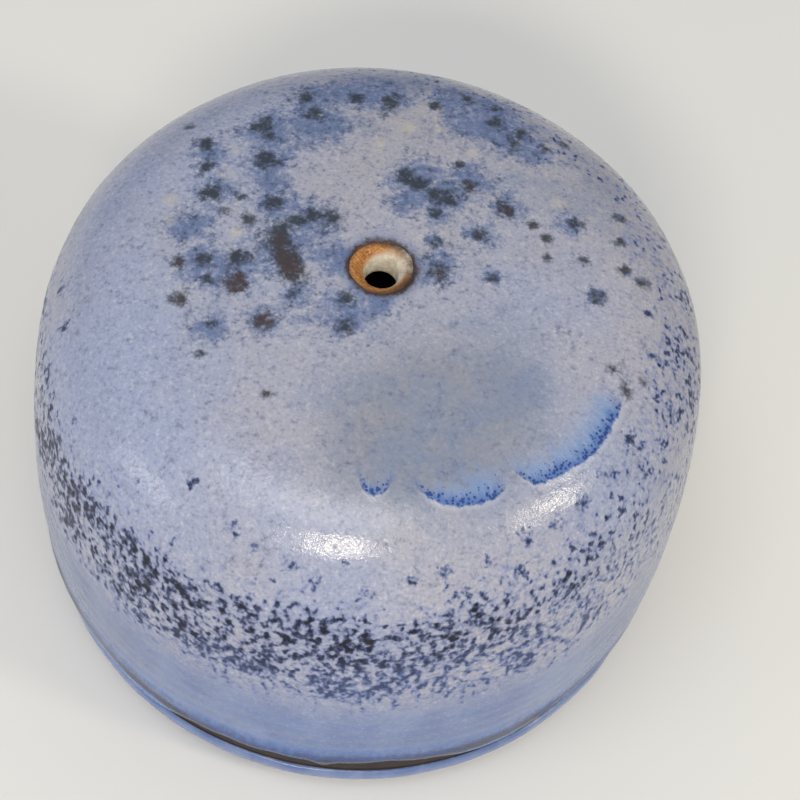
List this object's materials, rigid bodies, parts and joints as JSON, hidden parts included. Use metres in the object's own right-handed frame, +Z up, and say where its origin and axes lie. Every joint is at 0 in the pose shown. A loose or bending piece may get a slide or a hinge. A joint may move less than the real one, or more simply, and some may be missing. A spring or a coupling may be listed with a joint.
{
  "type": "butter crock",
  "caption": "Squat round stoneware butter crock: a glazed bell lid with a crown vent and a hanging butter cup, standing over a low crock with a water well.",
  "frame": {"origin": "centre of the foot ring's underside, on the surface that the crock stands on", "axes": "+Z up along the axis that every piece is turned on; the object looks the same all round, and -Y is called its front"},
  "size_m": [0.115, 0.115, 0.0829],
  "materials": {
    "bare_clay": "matt toasted stoneware",
    "blue_glaze": "satin-gloss lavender blue, speckled navy and brown",
    "liner_glaze": "glossy cream liner"
  },
  "bodies": {
    "crock": {"crock_base": "bare_clay", "well_wall": "bare_clay", "well_lute_coil": "bare_clay", "well_liner_glaze": "liner_glaze", "base_blue_glaze": "blue_glaze"},
    "bell": {"bell_shell": "bare_clay", "bell_blue_glaze": "blue_glaze", "bell_liner_glaze": "liner_glaze", "butter_cup": "bare_clay", "cup_liner_glaze": "liner_glaze", "cup_lute_coil": "bare_clay"}
  },
  "joints": [
    {"name": "bell_lift", "type": "slide", "parent": "crock", "child": "bell", "axis": [0, 0, 1], "range_m": [0, 0.06]}
  ]
}
